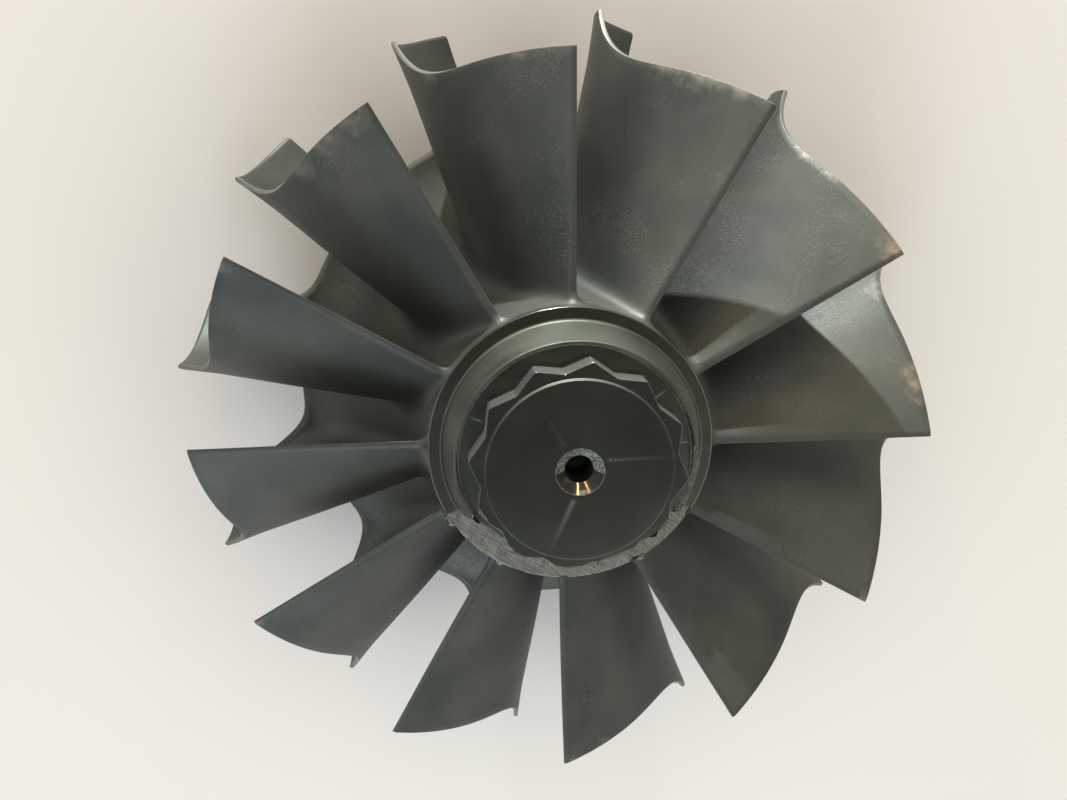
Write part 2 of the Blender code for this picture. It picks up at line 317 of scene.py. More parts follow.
def root_path():
    """The blade's inner line from its foot to its trailing edge: points, and their share of it."""
    foot = [(FOOT_RADIUS, FOOT_Z), (OVERHANG_RADIUS, FOOT_Z)]
    landing = [(LANDING_RADIUS, DISC_FRONT_Z + LANDING_LIFT)]
    curve = hub_point(np.linspace(1.0, 0.0, ROOT_SAMPLES))
    curve = curve[curve[:, 1] < TRAILING_Z]
    path = np.concatenate((foot, landing, curve, [(HUB_TOP_RADIUS, TRAILING_Z)]))
    steps = np.linalg.norm(np.diff(path, axis=0), axis=1)
    walk = np.concatenate(([0.0], np.cumsum(steps)))
    return path, walk / walk[-1]


ROOT_PATH, ROOT_SHARE = root_path()


def root_point(chord):
    return np.stack([np.interp(chord, ROOT_SHARE, ROOT_PATH[:, axis]) for axis in (0, 1)], -1)


def tip_point(chord):
    z = LEADING_TOP_Z + (TRAILING_Z - LEADING_TOP_Z) * chord
    reach = np.clip((SHROUD_STRAIGHT_END_Z - z) / (SHROUD_STRAIGHT_END_Z - LEADING_TOP_Z), 0.0, None)
    return np.stack((EXDUCER_RADIUS + (INDUCER_RADIUS - EXDUCER_RADIUS) * reach**SHROUD_POWER, z), -1)


def half_thickness(chord, row):
    fore = FOOT_HALF + (ROOT_HALF - FOOT_HALF) * np.sin(chord * math.pi) ** FORE_SWELL
    aft = TRAILING_HALF + (ROOT_HALF - TRAILING_HALF) * np.abs(np.sin(chord * math.pi)) ** AFT_SWELL
    root = np.where(chord < 0.5, fore, aft)
    return TIP_HALF + (root - TIP_HALF) * (1.0 - row) ** SPAN_SWELL


def blade_outline():
    """Once round a blade's section: share of the chord, side from -1 to 1, upward turn of the fillet."""
    half = [(NOSE_SHARE * (1.0 - math.cos(a)), math.sin(a), 0.0) for a in np.radians(NOSE_TURNS)]
    even = np.linspace(0.0, 1.0, SIDE_STATIONS)
    crowded = 0.5 - 0.5 * np.cos(even * math.pi)
    spaced = (1.0 - SIDE_CROWDING) * even + SIDE_CROWDING * crowded
    shares = NOSE_SHARE + (1.0 - TRAILING_CORNER_SHARE - NOSE_SHARE) * spaced
    half += [(s, 1.0, 0.0) for s in shares]
    for a in np.radians(TRAILING_CORNER_TURNS):
        side = 1.0 - TRAILING_CORNER_ROUND * (1.0 - math.cos(a))
        half.append((1.0 - TRAILING_CORNER_SHARE * (1.0 - math.sin(a)), side, a))
    mirrored = [(c, -s, a) for c, s, a in half[:0:-1]]
    return np.array(half + mirrored), len(half)


def flat_blade():
    """A blade before it is bent: x is the radius, y the width round the wheel, z the height."""
    outline, half = blade_outline()
    chord, side, upward = outline.T
    root = root_point(chord)
    tip = tip_point(chord)
    span = np.linalg.norm(tip - root, axis=1)
    on_disc = root[:, 0] > DISC_FROM_RADIUS
    arm_reach = np.clip(root[:, 0] - SCALLOP_RADIUS, 0.0, None) / SCALLOP_DEPTH
    arm_offset = arm_reach ** (1.0 / SCALLOP_POWER) * SCALLOP_HALF_ANGLE
    arm_half = root[:, 0] * (PITCH / 2 - np.minimum(arm_offset, ARM_HALF_ANGLE))
    room = arm_half - half_thickness(chord, 0.0) - ARM_MARGIN
    wanted = FILLET + (TRAILING_FILLET - FILLET) * smooth_step(chord, TRAILING_FILLET_FROM, 1.0)
    flare = np.where(on_disc, np.minimum(room, wanted), wanted)
    flare = np.maximum(flare, LEAST_FILLET)
    free = smooth_step(root[:, 0], *FREE_OF_DISC)
    flare_out = flare * (1.0 - free) - REAR_EDGE_ROUND * free
    flare_up = np.maximum(flare, REAR_EDGE_ROUND)
    rows = []

    def add_row(meridian, width):
        rows.append(np.column_stack((meridian[:, 0], width, meridian[:, 1])))

    tip_half = side * half_thickness(chord, 1.0)
    add_row(tip, tip_half * (1.0 - TIP_CORNER / TIP_HALF))
    low = flare_up / span
    shares = np.linspace(1.0, 0.0, SPAN_ROWS) ** SPAN_CROWDING
    for share in shares:
        row = low + (1.0 - TIP_CORNER / span - low) * share
        add_row(root + (tip - root) * row[:, None], side * half_thickness(chord, row))
    start = root + (tip - root) * low[:, None]
    start_half = side * half_thickness(chord, low)
    corner_half = side * half_thickness(chord, 0.0)
    end = root + np.stack((np.zeros(len(chord)), flare * np.sin(upward)), 1)
    end_half = corner_half + side * flare_out * np.cos(upward)
    for share in np.linspace(0.0, 1.0, FILLET_ROWS)[1:]:
        a, b, c = (1 - share) ** 2, 2 * share * (1 - share), share**2
        add_row(a * start + b * root + c * end, a * start_half + b * corner_half + c * end_half)

    step = np.gradient(root, axis=0)
    slope = np.stack((-np.abs(step[:, 1]), -np.abs(step[:, 0])), 1)
    slope /= np.maximum(np.linalg.norm(slope, axis=1)[:, None], 1e-9)
    into_hub = np.where(on_disc[:, None], (0.0, -1.0), slope)
    into_hub = np.where(chord[:, None] > SINK_INWARD_FROM, (-1.0, 0.0), into_hub)
    add_row(end + into_hub * SINK * (1.0 - free)[:, None], end_half)

    count = len(outline)
    faces = ring_faces(len(rows), count)
    for first, flip in ((0, False), ((len(rows) - 1) * count, True)):
        for i in range(half - 1):
            corners = (i, i + 1, (count - i - 1) % count, (count - i) % count)
            face = [first + corner for corner in (corners if i else corners[:3])]
            faces.append(face[::-1] if flip else face)
    mesh = new_mesh("flat_blade", np.concatenate(rows), faces)
    uv = mesh.uv_layers.new(name="UVMap")
    shares_of_row = np.concatenate(([1.0], shares, np.zeros(FILLET_ROWS)))
    loops = np.zeros(len(mesh.loops), int)
    mesh.loops.foreach_get("vertex_index", loops)
    values = np.column_stack((np.tile(chord, len(rows))[loops], shares_of_row[loops // count]))
    uv.data.foreach_set("uv", values.astype(np.float32).ravel())
    return mesh


# What each blade is bent by, as the named inputs of the tree
BEND_INPUTS = (
    "Turn",
    "Trailing height",
    "Fold height",
    "Foot height",
    "Fold angle",
    "Foot return",
    "Lean",
    "Bulge",
)


def bending_tree(material):
    """Geometry Nodes that bend the flat blade round the axis by its camber, and turn it into place."""
    tree = bpy.data.node_groups.new("bend_blade", "GeometryNodeTree")
    tree.interface.new_socket("Geometry", in_out="INPUT", socket_type="NodeSocketGeometry")
    for name in BEND_INPUTS:
        tree.interface.new_socket(name, in_out="INPUT", socket_type="NodeSocketFloat")
    tree.interface.new_socket("Geometry", in_out="OUTPUT", socket_type="NodeSocketGeometry")
    given = add(tree, "NodeGroupInput")

    position = add(tree, "GeometryNodeInputPosition")[0]
    place = add(tree, "ShaderNodeSeparateXYZ", {0: position})
    above = add(tree, "ShaderNodeMapRange", {
        "Value": place[2], 1: given["Trailing height"], 2: given["Fold height"], 3: 1.0, 4: 0.0})[0]
    below = add(tree, "ShaderNodeMapRange", {
        "Value": place[2], 1: given["Fold height"], 2: given["Foot height"], 3: 0.0, 4: 1.0})[0]
    above = add(tree, "ShaderNodeMath", {0: above, 1: FOLD_POWER}, operation="POWER")[0]
    above = add(tree, "ShaderNodeMath", {0: 1.0, 1: above}, operation="SUBTRACT")[0]
    upper = add(tree, "ShaderNodeMath", {0: given["Fold angle"], 1: above}, operation="MULTIPLY")[0]
    below = add(tree, "ShaderNodeMath", {0: below, 1: FOOT_POWER}, operation="POWER")[0]
    lower = add(tree, "ShaderNodeMath", {0: given["Foot return"], 1: below}, operation="MULTIPLY")[0]
    across = add(tree, "ShaderNodeMapRange", {
        "Value": place[0], 1: HUB_TOP_RADIUS * MM, 2: EXDUCER_RADIUS * MM, 3: 0.0, 4: math.pi / 2})[0]
    bow = add(tree, "ShaderNodeMath", {0: across}, operation="COSINE")[0]
    sway = add(tree, "ShaderNodeMath", {0: given["Bulge"], 1: -1.0}, operation="MULTIPLY")[0]
    sway = add(tree, "ShaderNodeMapRange", {
        "Value": place[2], 1: given["Fold height"], 2: given["Trailing height"],
        3: sway, 4: given["Lean"]})[0]
    sway = add(tree, "ShaderNodeMath", {0: sway, 1: bow}, operation="MULTIPLY")[0]
    width = add(tree, "ShaderNodeMath", {0: place[1], 1: sway}, operation="SUBTRACT")[0]
    width = add(tree, "ShaderNodeMath", {0: width, 1: place[0]}, operation="DIVIDE")[0]
    angle = add(tree, "ShaderNodeMath", {0: upper, 1: lower}, operation="SUBTRACT")[0]
    angle = add(tree, "ShaderNodeMath", {0: angle, 1: width}, operation="ADD")[0]
    cosine = add(tree, "ShaderNodeMath", {0: angle}, operation="COSINE")[0]
    sine = add(tree, "ShaderNodeMath", {0: angle}, operation="SINE")[0]
    east = add(tree, "ShaderNodeMath", {0: place[0], 1: cosine}, operation="MULTIPLY")[0]
    north = add(tree, "ShaderNodeMath", {0: place[0], 1: sine}, operation="MULTIPLY")[0]
    bent = add(tree, "ShaderNodeCombineXYZ", {0: east, 1: north, 2: place[2]})[0]
    moved = add(tree, "GeometryNodeSetPosition", {"Geometry": given["Geometry"], "Position": bent})
    single = add(tree, "GeometryNodeGeometryToInstance", {0: moved[0]})
    turn = add(tree, "ShaderNodeCombineXYZ", {2: given["Turn"]})
    turned = add(tree, "GeometryNodeRotateInstances", {
        "Instances": single[0], "Rotation": turn[0], "Local Space": False})
    real = add(tree, "GeometryNodeRealizeInstances", {0: turned[0]})
    finished = add(tree, "GeometryNodeSetMaterial", {"Geometry": real[0], "Material": material})
    add(tree, "NodeGroupOutput", {0: finished[0]})
    return tree


def bent_blade(name, flat, tree, values, material):
    """The flat blade, bent and turned by the tree, as a plain mesh."""
    rough = bpy.data.objects.new(name + "_flat", flat)
    bpy.context.scene.collection.objects.link(rough)
    modifier = rough.modifiers.new("bend", "NODES")
    modifier.node_group = tree
    sockets = {s.name: s.identifier for s in tree.interface.items_tree if s.in_out == "INPUT"}
    for key, value in values.items():
        modifier[sockets[key]] = value
    evaluated = rough.evaluated_get(bpy.context.evaluated_depsgraph_get())
    mesh = bpy.data.meshes.new_from_object(evaluated)
    mesh.name = name
    mesh.materials.clear()
    bpy.data.objects.remove(rough, do_unlink=True)
    return put_in_scene(name, mesh, [material], 40.0)


# Near the hub each blade bends more than at its tip: its fold bulges one way, and its trailing
# edge leans the other way, by an amount that differs a little between the blades of the casting
BULGE = 0.9
LEANS = (0.25, 0.1, 0.2, 0.3, 0.3, 0.4, 0.9, 0.85, 0.6, 0.4, 0.35, 0.2)

# The blades' own skin: the cast alloy with painted glints, light sand grains in patches that stand
# in for glittering, an outer edge ground to size that shows bright, metal rubbed bare beside it, a
# copper heat tint at some tips, and painted shade along the trailing edge. The sand is about 0.3 mm,
# its patches about 9 mm, and the streaks in the rubbed metal 1.6 mm.
SAND_SIZE = 0.28
SAND_PATCH = 9.0
SAND_RELIEF = 0.035
SAND_PAINTED_GLINT = 0.35
TINT_STRENGTH = 0.9
TRAILING_PAINTED_SHADE = 0.5
RUB_SIZE = 1.6
MARK_WOBBLE = 3.0
MARK_CORE = 0.4
MARK_FADE = 1.15

# Each mark: its place on the wheel and how far it reaches, in millimetres
RUBBED_PLACES = (
    (-38.8, 40.4, 44.5, 3.0),
    (-34.3, 44.3, 48.5, 3.4),
    (-30.0, 47.3, 51.8, 3.2),
    (14.5, 54.1, 43.6, 1.7),
    (16.7, 53.5, 45.5, 2.0),
    (18.9, 52.7, 47.3, 2.3),
    (21.4, 51.8, 49.2, 2.2),
    (23.8, 50.7, 50.9, 1.9),
    (37.5, 42.0, 40.5, 1.8),
    (40.2, 38.9, 44.4, 1.6),
    (0.6, -56.0, 53.3, 1.6),
    (6.6, -55.6, 49.6, 1.5),
    (53.3, 20.0, 37.4, 2.4),
    (-19.9, 53.3, 37.5, 2.0),
    (-7.2, 55.5, 49.3, 1.4),
    (-49.0, 27.0, 53.0, 1.6),
)
TINTED_PLACES = (
    (47.9, 29.0, 53.0, 2.8),
    (55.6, 6.5, 49.8, 2.6),
    (55.3, 8.6, 48.3, 2.4),
    (-48.5, -28.0, 53.6, 1.6),
    (48.5, -28.0, 53.6, 1.4),
)


def near_marks(tree, place, marks):
    """1 on the marked places, 0 away from them, with a ragged border."""
    ragged = add(tree, "ShaderNodeTexNoise", {
        "Vector": place, "Scale": 1.0 / (RUB_SIZE * MM), "Detail": 3.0})["Color"]
    shift = add(tree, "ShaderNodeVectorMath", {
        0: ragged, 1: (0.5, 0.5, 0.5)}, operation="SUBTRACT")[0]
    shift = add(tree, "ShaderNodeVectorMath", {
        0: shift, "Scale": MARK_WOBBLE * MM}, operation="SCALE")[0]
    spot = add(tree, "ShaderNodeVectorMath", {0: place, 1: shift}, operation="ADD")[0]
    nearest = 0.0
    for x, y, z, reach in marks:
        middle = (x * MM, y * MM, z * MM)
        core, fade = MARK_CORE * reach * MM, MARK_FADE * reach * MM
        gap = add(tree, "ShaderNodeVectorMath", {0: spot, 1: middle}, operation="DISTANCE")["Value"]
        inside = add(tree, "ShaderNodeMapRange", {
            "Value": gap, 1: core, 2: fade, 3: 1.0, 4: 0.0})[0]
        nearest = add(tree, "ShaderNodeMath", {0: nearest, 1: inside}, operation="MAXIMUM")[0]
    return nearest


def blade_alloy(name):
    material, tree = new_material(name)
    place = add(tree, "ShaderNodeTexCoord")["Object"]
    shares = add(tree, "ShaderNodeUVMap", uv_map="UVMap")[0]
    chord, span, _ = add(tree, "ShaderNodeSeparateXYZ", {0: shares})
    noises = []
    for size, detail, roughness in (
            (CAST_STAIN, 5.0, 0.5), (SAND_SIZE, 2.0, 0.7), (SAND_PATCH, 3.0, 0.5), (RUB_SIZE, 4.0, 0.65)):
        noises.append(add(tree, "ShaderNodeTexNoise", {
            "Vector": place, "Scale": 1.0 / (size * MM), "Detail": detail, "Roughness": roughness}))
    stain, sand, patch, streak = [noise["Fac"] for noise in noises]

    # Painted glints: light grains of sand in patches, mixed into the colour as if they caught the light
    grains = add(tree, "ShaderNodeMapRange", {"Value": sand, 1: 0.52, 2: 0.7})[0]
    patch = add(tree, "ShaderNodeMapRange", {"Value": patch, 1: 0.47, 2: 0.62})[0]
    streak = add(tree, "ShaderNodeMapRange", {
        "Value": streak, 1: 0.38, 2: 0.62, 3: 0.15, 4: 0.85})[0]
    # Painted shade: the strip along the trailing edge is darkened in colour
    trailing = add(tree, "ShaderNodeMapRange", {"Value": chord, 1: 0.992, 2: 0.998})[0]
    tip = add(tree, "ShaderNodeMapRange", {"Value": span, 1: 0.9985, 2: 0.9995})[0]
    rubbed = near_marks(tree, place, RUBBED_PLACES)
    tinted = near_marks(tree, place, TINTED_PLACES)
    painted_glints, rubbed, tinted = [
        add(tree, "ShaderNodeMath", {0: first, 1: second}, operation="MULTIPLY")[0]
        for first, second in ((grains, patch), (rubbed, streak), (tinted, streak))]

    colour = blended(tree, stain, 0.35, 0.65, srgb("4b514c"), srgb("5c5f59"))
    layers = (
        (painted_glints, SAND_PAINTED_GLINT, "9b9c90"),
        (rubbed, 1.0, "86857a"),
        (tinted, TINT_STRENGTH, "a5917c"),
        (trailing, TRAILING_PAINTED_SHADE, "3f423c"),
        (tip, 1.0, "80827a"),
    )
    for layer, strength, code in layers:
        share = add(tree, "ShaderNodeMath", {0: layer, 1: strength}, operation="MULTIPLY")[0]
        colour = add(tree, "ShaderNodeMix", {
            "Factor": share, "A": colour, "B": srgb(code)}, data_type="RGBA")["Result"]
    rough = add(tree, "ShaderNodeMapRange", {"Value": sand, 1: 0.3, 2: 0.7, 3: 0.44, 4: 0.64})[0]
    gain = add(tree, "ShaderNodeMapRange", {"Value": patch, 1: 0.0, 2: 1.0, 3: 0.5, 4: 1.6})[0]
    relief = add(tree, "ShaderNodeMath", {0: sand, 1: gain}, operation="MULTIPLY")[0]
    finish_material(tree, colour, rough, relief, 0.7, SAND_RELIEF, CAST_METAL)
    return material


flat = flat_blade()
blade_skin = blade_alloy("nickel_alloy_blades")
tree = bending_tree(blade_skin)
for number in range(1, BLADE_COUNT + 1):
    values = {
        "Turn": math.pi / 2 - PITCH * (number - 1),
        "Trailing height": TRAILING_Z * MM,
        "Fold height": FOLD_Z * MM,
        "Foot height": FOOT_Z * MM,
        "Fold angle": FOLD_ANGLE,
        "Foot return": FOOT_RETURN,
        "Lean": LEANS[number - 1] * MM,
        "Bulge": BULGE * MM,
    }
    blade = bent_blade(f"blade_casting_{number:02d}", flat, tree, values, blade_skin)
    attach(blade, "root")
    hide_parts(f"blade_{number:02d}")

# Nose collar
# The turned collar on top of the cone: a shoulder, a slightly tapered rim and a shallow dish
# inside it. Flats were ground off its lower side by hand, to balance the wheel.

SHOULDER_Z = 56.0
SHOULDER_RADIUS = 21.1
SHOULDER_EDGE_ROUND = 0.18
RIM_TOP_Z = 62.4
RIM_OUTER_RADIUS = 17.5
RIM_OUTER_ROUND = 0.15
RIM_INNER_RADIUS = 17.0
RIM_INNER_ROUND = 0.1
CONE_FOOT_RADIUS = 19.1
CONE_FOOT_FILLET = 0.55
DISH_RADIUS = 16.75
DISH_FLOOR_Z = 61.0
DISH_FILLET = 0.15
DISH_SLOPE = (RIM_TOP_Z - DISH_FLOOR_Z) / (RIM_INNER_RADIUS - DISH_RADIUS)
COLLAR_SINK = 0.05
HEAD_SOCKET_RADIUS = 6.0
HEAD_SOCKET_Z = 57.0

# How finely it is drawn: steps round it, and points on a rounding, held flat by points beside it
COLLAR_STEPS = 720
CORNER_PIECES = 6
HOLD_GAP = 0.12
HOLD_MOST = 0.3
ROUND_MOST = 0.8

# Where the shoulder is ground down, from its first to its last angle, and its depth at each
GROUND_ANGLES = (-151.0, -105.0, -75.0, -29.0)
GROUND_DEPTHS = (0.05, 0.15, 0.45, 0.4)

# The steep wall that the grinding left behind the shoulder: its radius at some angles
WALL_ANGLES = (-151.0, -140.0, -127.0, -117.0, -105.0, -96.0, -85.0, -60.0, -45.0, -34.0, -29.0)
WALL_RADII = (17.3, 16.24, 15.7, 16.6, 16.0, 16.5, 16.0, 16.0, 16.95, 16.3, 16.9)
WALL_LEAN = 0.21
WALL_BEHIND = 0.2
WALL_CREST = 0.1
WALL_EDGE_ROUND = 0.02
WALL_BEHIND_ROUND = 0.05
WALL_FOOT_FILLET = 0.4
WALL_REACH = 15.5

# On from there only the top of the rim was ground off, to these heights inside and outside
TOUCHED_ANGLES = (-29.0, -20.0, -10.0, 0.0, 5.0, 7.0)
TOUCHED_INSIDE = (61.15, 61.25, 61.5, 61.95, 62.3, 62.4)
TOUCHED_OUTSIDE = (60.55, 60.65, 60.95, 61.5, 62.0, 62.35)
TOUCHED_LOWEST = 60.5
TOUCHED_RADIUS = 16.8
TOUCHED_INNER_ROUND = 0.02
TOUCHED_OUTER_ROUND = 0.04

# Each flat: its direction and slope in degrees, and its distance from the axis at the shoulder
BALANCE_FLATS = (
    (-148.0, 57.0, 20.85),
    (-136.0, 57.0, 20.9),
    (-124.0, 57.5, 20.95),
    (-112.0, 57.0, 20.85),
    (-100.0, 57.0, 20.9),
    (-88.0, 56.0, 20.9),
    (-69.0, 54.0, 20.9),
    (-50.0, 56.0, 20.85),
    (-38.0, 57.0, 20.9),
)


def rounded_line(corners):
    """Points along a line of corners (radius, height, rounding), with each corner rounded off."""
    ends = [[np.array(corners[0][:2])]]
    for before, here, after in zip(corners, corners[1:], corners[2:]):
        corner = np.array(here[:2])
        if not here[2]:
            ends.append([corner])
            continue
        back, on = np.array(before[:2]) - corner, np.array(after[:2]) - corner
        back_length, on_length = np.linalg.norm(back), np.linalg.norm(on)
        back, on = back / back_length, on / on_length
        half = math.acos(float(np.clip(back @ on, -1.0, 1.0))) / 2
        reach = min(here[2] / math.tan(half), ROUND_MOST * back_length, ROUND_MOST * on_length)
        start, end = corner + back * reach, corner + on * reach
        ends.append([
            start * (1 - t) ** 2 + corner * 2 * t * (1 - t) + end * t**2
            for t in np.linspace(0.0, 1.0, CORNER_PIECES + 1)])
    ends.append([np.array(corners[-1][:2])])
    line = list(ends[0])
    for before, here in zip(ends, ends[1:]):
        straight = here[0] - before[-1]
        hold = straight * min(HOLD_GAP / np.linalg.norm(straight), HOLD_MOST)
        line += [before[-1] + hold, here[0] - hold, *here]
    return np.array(line)


def capped_rings(name, rings, first_z, last_z):
    """A closed mesh from rings of points, closed by a fan to the axis at either end."""
    steps = len(rings[0])
    count = len(rings) * steps
    points = np.concatenate(rings + [np.array(((0.0, 0.0, first_z), (0.0, 0.0, last_z)))])
    faces = ring_faces(len(rings), steps)
    for i in range(steps):
        j = (i + 1) % steps
        faces.append((count, i, j))
        faces.append((count + 1, count - steps + j, count - steps + i))
    return new_mesh(name, points, faces)


def collar_line(degrees):
    """The collar's section at one angle round it: turned, and cut back where it was ground."""
    ground = GROUND_ANGLES[0] <= degrees <= GROUND_ANGLES[-1]
    floor = SHOULDER_Z - (np.interp(degrees, GROUND_ANGLES, GROUND_DEPTHS) if ground else 0.0)
    rim = (
        (DISH_RADIUS, DISH_FLOOR_Z, DISH_FILLET),
        (RIM_INNER_RADIUS, RIM_TOP_Z, RIM_INNER_ROUND),
        (RIM_OUTER_RADIUS, RIM_TOP_Z, RIM_OUTER_ROUND),
        (CONE_FOOT_RADIUS, floor, CONE_FOOT_FILLET),
    )
    if TOUCHED_ANGLES[0] < degrees < TOUCHED_ANGLES[-1]:
        inside = np.interp(degrees, TOUCHED_ANGLES, TOUCHED_INSIDE)
        outside = np.interp(degrees, TOUCHED_ANGLES, TOUCHED_OUTSIDE)
        share = (RIM_TOP_Z - outside) / (RIM_TOP_Z - floor)
        outer = RIM_OUTER_RADIUS + (CONE_FOOT_RADIUS - RIM_OUTER_RADIUS) * share
        rim = (
            rim[0],
            (TOUCHED_RADIUS, inside, TOUCHED_INNER_ROUND),
            (outer, outside, TOUCHED_OUTER_ROUND),
            rim[-1],
        )
    if ground:
        wall = np.interp(degrees, WALL_ANGLES, WALL_RADII)
        top = min(RIM_TOP_Z, DISH_FLOOR_Z + max(0.0, wall - DISH_RADIUS) * DISH_SLOPE)
        lean = (top - DISH_FLOOR_Z) * WALL_LEAN
        rim = (
            (min(wall, DISH_RADIUS) - WALL_BEHIND, DISH_FLOOR_Z, WALL_BEHIND_ROUND),
            (wall - WALL_CREST - lean, top, WALL_EDGE_ROUND),
            (wall - lean, top, WALL_EDGE_ROUND),
            (wall + (DISH_FLOOR_Z - floor) * WALL_LEAN, floor, WALL_FOOT_FILLET),
        )
    return rounded_line((
        (0.0, HEAD_SOCKET_Z, 0.0),
        (HEAD_SOCKET_RADIUS, HEAD_SOCKET_Z, 0.0),
        (HEAD_SOCKET_RADIUS, DISH_FLOOR_Z, 0.0),
        *rim,
        (SHOULDER_RADIUS, floor, SHOULDER_EDGE_ROUND),
        (HUB_TOP_RADIUS, COLLAR_FOOT_Z - COLLAR_SINK, 0.0),
        (0.0, COLLAR_FOOT_Z - COLLAR_SINK, 0.0),
    ))


def columns_mesh(name, angle, columns):
    """A closed mesh from a line at each angle; all the lines start and end on the axis."""
    rings = []
    for k in range(1, columns.shape[1] - 1):
        radius, height = columns[:, k, 0], columns[:, k, 1]
        rings.append(np.column_stack((radius * np.cos(angle), radius * np.sin(angle), height)))
    return capped_rings(name, rings, columns[0, 0, 1], columns[0, -1, 1])


def grind(mesh, flats, slot):
    """Cuts flats off a mesh, closes it again, and gives the new faces a material slot."""
    work = bmesh.new()
    work.from_mesh(mesh)
    for direction, slope, distance in flats:
        a, s = math.radians(direction), math.radians(slope)
        point = Vector((distance * math.cos(a), distance * math.sin(a), SHOULDER_Z)) * MM
        normal = Vector((math.cos(a) * math.sin(s), math.sin(a) * math.sin(s), math.cos(s)))
        everything = work.verts[:] + work.edges[:] + work.faces[:]
        cut = bmesh.ops.bisect_plane(
            work, geom=everything, dist=1e-7, plane_co=point, plane_no=normal, clear_outer=True)
        edges = [e for e in cut["geom_cut"] if isinstance(e, bmesh.types.BMEdge)]
        if not edges:
            continue
        for face in bmesh.ops.edgeloop_fill(work, edges=edges)["faces"]:
            face.material_index = slot
            if face.normal.dot(normal) < 0:
                face.normal_flip()
    work.to_mesh(mesh)
    work.free()


def sharpen_between_slots(mesh):
    """Keeps the edge hard wherever two finishes meet."""
    slots = {}
    for face in mesh.polygons:
        for key in face.edge_keys:
            slots.setdefault(key, set()).add(face.material_index)
    sharp = mesh.attributes["sharp_edge"].data
    for edge in mesh.edges:
        if len(slots[edge.key]) > 1:
            sharp[edge.index].value = True


# Nickel alloy turned on a lathe and darkened by heat: smooth and satin, with fine rings of
# tool marks about the axis. The real feed is about 0.1 mm; it is drawn coarser so that it shows.
TOOL_MARK_PITCH = 0.3
TURNED_STAIN = 7.0
ROUGHNESS_SPREAD = 0.08
STREAK_COLOUR = srgb("b9bab0")
STREAK_ROUGHNESS = 0.5
STREAK_START = 0.6


def turned_alloy(name, dark, light, roughness, depth, streaks=()):
    material, tree = new_material(name)
    place = add(tree, "ShaderNodeTexCoord")["Object"]
    flat = add(tree, "ShaderNodeVectorMath", {
        0: place, 1: (1.0, 1.0, 0.0)}, operation="MULTIPLY")[0]
    radius = add(tree, "ShaderNodeVectorMath", {0: flat}, operation="LENGTH")["Value"]
    way = add(tree, "ShaderNodeVectorMath", {0: flat}, operation="NORMALIZE")[0]
    height = add(tree, "ShaderNodeSeparateXYZ", {0: place})["Z"]
    pitches = 1.0 / (TOOL_MARK_PITCH * MM)
    across = add(tree, "ShaderNodeMath", {0: radius, 1: pitches}, operation="MULTIPLY")[0]
    down = add(tree, "ShaderNodeMath", {0: height, 1: pitches}, operation="MULTIPLY")[0]
    lift = add(tree, "ShaderNodeCombineXYZ", {"Z": across})[0]
    spot = add(tree, "ShaderNodeVectorMath", {0: way, 1: lift}, operation="ADD")[0]
    marks = add(tree, "ShaderNodeTexNoise", {
        "Vector": spot, "W": down, "Scale": 1.0, "Detail": 2.0}, noise_dimensions="4D")["Fac"]
    stain = add(tree, "ShaderNodeTexNoise", {
        "Vector": place, "Scale": 1.0 / (TURNED_STAIN * MM), "Detail": 4.0})["Fac"]
    colour = blended(tree, stain, 0.3, 0.7, dark, light)
    smoother, rougher = roughness * (1.0 - ROUGHNESS_SPREAD), roughness * (1.0 + ROUGHNESS_SPREAD)
    rough = add(tree, "ShaderNodeMapRange", {
        "Value": marks, 1: 0.3, 2: 0.7, 3: smoother, 4: rougher})[0]
    # Light radial streaks in colour and roughness; on the round face they are painted highlights
    for direction, start, end, offset, width, strength in streaks:
        turn = add(tree, "ShaderNodeMapping", {
            "Vector": place, "Rotation": (0, 0, math.radians(-direction))})[0]
        along, beside, _ = add(tree, "ShaderNodeSeparateXYZ", {0: turn})
        beside = add(tree, "ShaderNodeMath", {0: beside, 1: offset * MM}, operation="SUBTRACT")[0]
        beside = add(tree, "ShaderNodeMath", {0: beside}, operation="ABSOLUTE")[0]
        beside = add(tree, "ShaderNodeMapRange", {
            "Value": beside, 1: 0.0, 2: width * MM, 3: strength, 4: 0.0})[0]
        inner = add(tree, "ShaderNodeMapRange", {
            "Value": along, 1: start * MM, 2: (start + STREAK_START) * MM})[0]
        outer = add(tree, "ShaderNodeMapRange", {
            "Value": along, 1: start * MM, 2: end * MM, 3: 1.0, 4: 0.0})[0]
        length = add(tree, "ShaderNodeMath", {0: inner, 1: outer}, operation="MULTIPLY")[0]
        streak = add(tree, "ShaderNodeMath", {0: length, 1: beside}, operation="MULTIPLY")[0]
        colour = add(tree, "ShaderNodeMix", {
            "Factor": streak, "A": colour, "B": STREAK_COLOUR}, data_type="RGBA")["Result"]
        rough = add(tree, "ShaderNodeMath", {
            0: streak, 1: STREAK_ROUGHNESS, 2: rough}, operation="MULTIPLY_ADD")[0]
    finish_material(tree, colour, rough, marks, 0.5, depth)
    return material


# The balance flats: bare bright metal, crossed by coarse scratches from a hand grinder, about
# 4 mm long and 0.16 mm wide, in three directions.
SCRATCH_WIDTH = 0.16
SCRATCH_LENGTH = 4.0
SCRATCH_DEPTH = 0.045
SCRATCH_DIRECTIONS = (62.0, 78.0, -34.0)
GROUND_ROUGHNESS = 0.42


